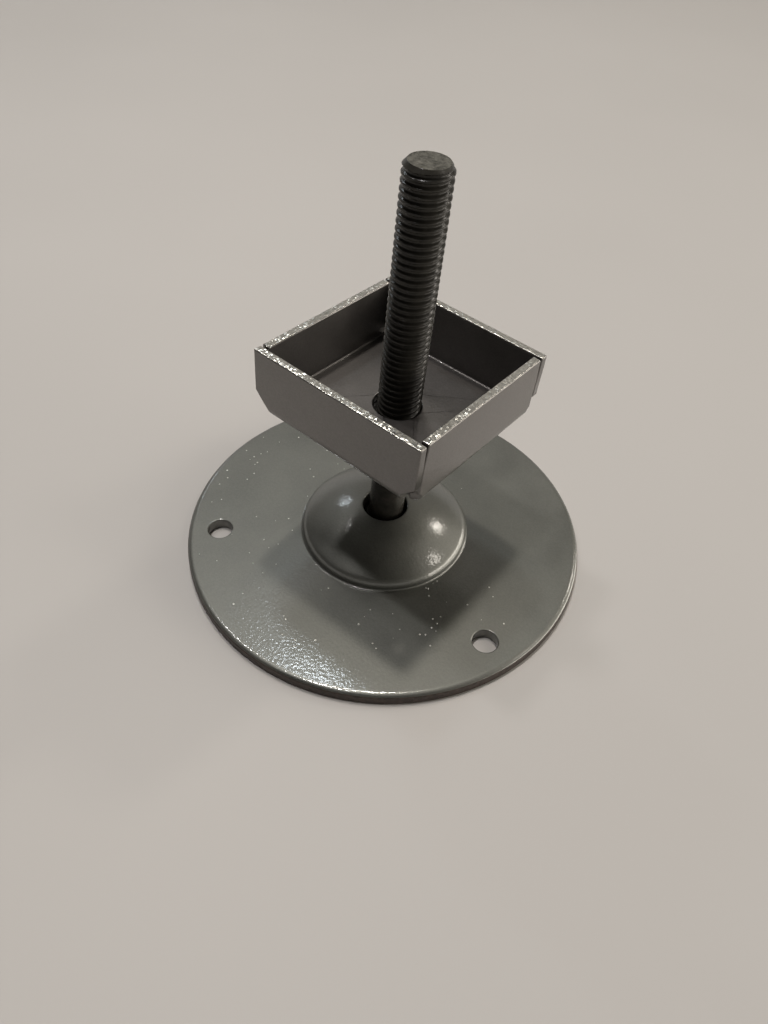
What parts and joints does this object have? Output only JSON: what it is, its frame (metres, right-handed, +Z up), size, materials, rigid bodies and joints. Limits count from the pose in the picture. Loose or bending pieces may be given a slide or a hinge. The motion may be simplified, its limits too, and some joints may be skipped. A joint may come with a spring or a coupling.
{
  "type": "leveling foot",
  "caption": "Swivelling leveling foot: round pressed base with a domed socket, threaded stud, adjusting nut and a square folded cup that takes a tube's end.",
  "frame": {"origin": "centre of the base plate's underside, on the floor", "axes": "+Z up, square to the base plate; X and Y along the cup's walls"},
  "size_m": [0.1, 0.1, 0.0966],
  "materials": {
    "plate_paint": "silver-grey metallic paint, satin, slight orange peel",
    "cup_paint": "silver-grey metallic paint, satin, bright rough rims",
    "stud_steel": "black oxide, oiled, rolled thread",
    "nut_steel": "black oxide, satin"
  },
  "bodies": {
    "base": {"base_plate": "plate_paint"},
    "stud": {"threaded_stud": "stud_steel"},
    "cup": {"tube_cup": "cup_paint"},
    "nut": {"adjusting_nut": "nut_steel"}
  },
  "joints": [
    {"name": "stud_tilt", "type": "hinge", "parent": "base", "child": "stud", "pos_m": [0, 0, 0.004], "axis": [-0.843, 0.5379, 0], "range_deg": [-10.8, 5.2]},
    {"name": "cup_lift", "type": "slide", "parent": "stud", "child": "cup", "axis": [0.0263, 0.0412, 0.9988], "range_m": [-0.012, 0.05]},
    {"name": "nut_turn", "type": "hinge", "parent": "cup", "child": "nut", "pos_m": [0.00086, 0.00135, 0.03666], "axis": [0.0263, 0.0412, 0.9988], "range_deg": [-2881, 12001]}
  ],
  "couplings": [
    {"joint": "nut_turn", "follows": "cup_lift", "rad_per_m": 4188.8}
  ]
}
